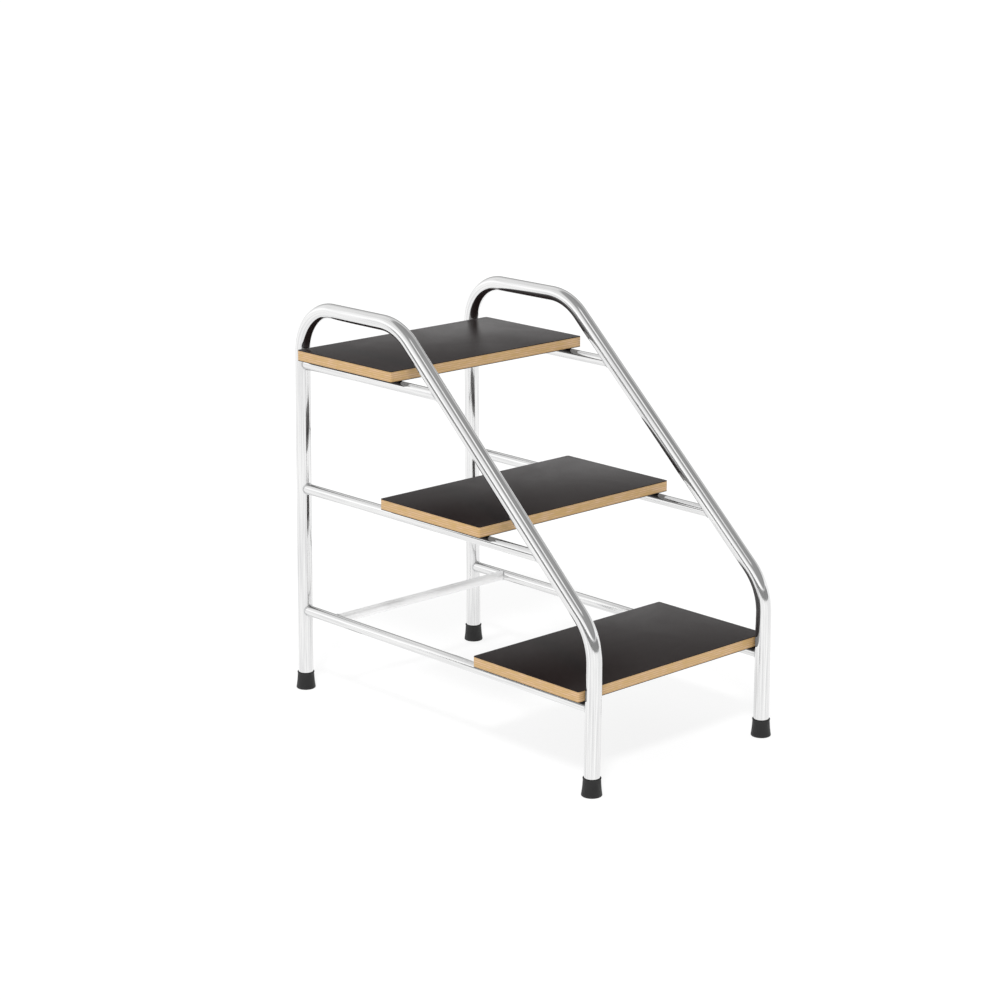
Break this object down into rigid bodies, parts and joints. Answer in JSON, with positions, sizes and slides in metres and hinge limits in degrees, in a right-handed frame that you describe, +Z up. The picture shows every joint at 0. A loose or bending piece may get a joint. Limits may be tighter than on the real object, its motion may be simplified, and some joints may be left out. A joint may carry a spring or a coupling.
{
  "type": "step stool",
  "caption": "Tubular metal step stool with laminated treads, handrails that run up each side into a grab bow, and rubber feet.",
  "frame": {"origin": "on the floor at the centre of the footprint, midway between the side frames and midway between front and rear legs", "axes": "+X to the climber's right, +Y from the front legs to the rear legs, +Z up"},
  "size_m": [0.42, 0.7104, 0.6665],
  "materials": {
    "bright_steel": "bright plated steel tube, soft sheen with fine drawing marks",
    "laminate": "near black high-pressure laminate, fine satin texture",
    "plywood": "clear varnished plywood edge, warm honey brown",
    "rubber_foot": "moulded black rubber, matt",
    "zinc_fastener": "zinc plated screws and foot discs"
  },
  "bodies": {
    "root": {"cross_tube": "bright_steel", "front_left_foot": "rubber_foot", "front_left_foot_disc": "zinc_fastener", "front_right_foot": "rubber_foot", "front_right_foot_disc": "zinc_fastener", "left_lower_rail": "bright_steel", "left_middle_rail": "bright_steel", "left_side_tube": "bright_steel", "left_upper_rail": "bright_steel", "lower_front_left_screw": "zinc_fastener", "lower_front_right_screw": "zinc_fastener", "lower_rear_left_screw": "zinc_fastener", "lower_rear_right_screw": "zinc_fastener", "lower_tread_core": "plywood", "lower_tread_surface": "laminate", "lower_tread_underside": "laminate", "middle_front_left_screw": "zinc_fastener", "middle_front_right_screw": "zinc_fastener", "middle_rear_left_screw": "zinc_fastener", "middle_rear_right_screw": "zinc_fastener", "middle_tread_core": "plywood", "middle_tread_surface": "laminate", "middle_tread_underside": "laminate", "rear_left_foot": "rubber_foot", "rear_left_foot_disc": "zinc_fastener", "rear_right_foot": "rubber_foot", "rear_right_foot_disc": "zinc_fastener", "right_lower_rail": "bright_steel", "right_middle_rail": "bright_steel", "right_side_tube": "bright_steel", "right_upper_rail": "bright_steel", "upper_front_left_screw": "zinc_fastener", "upper_front_right_screw": "zinc_fastener", "upper_rear_left_screw": "zinc_fastener", "upper_rear_right_screw": "zinc_fastener", "upper_tread_core": "plywood", "upper_tread_surface": "laminate", "upper_tread_underside": "laminate"}
  },
  "joints": []
}
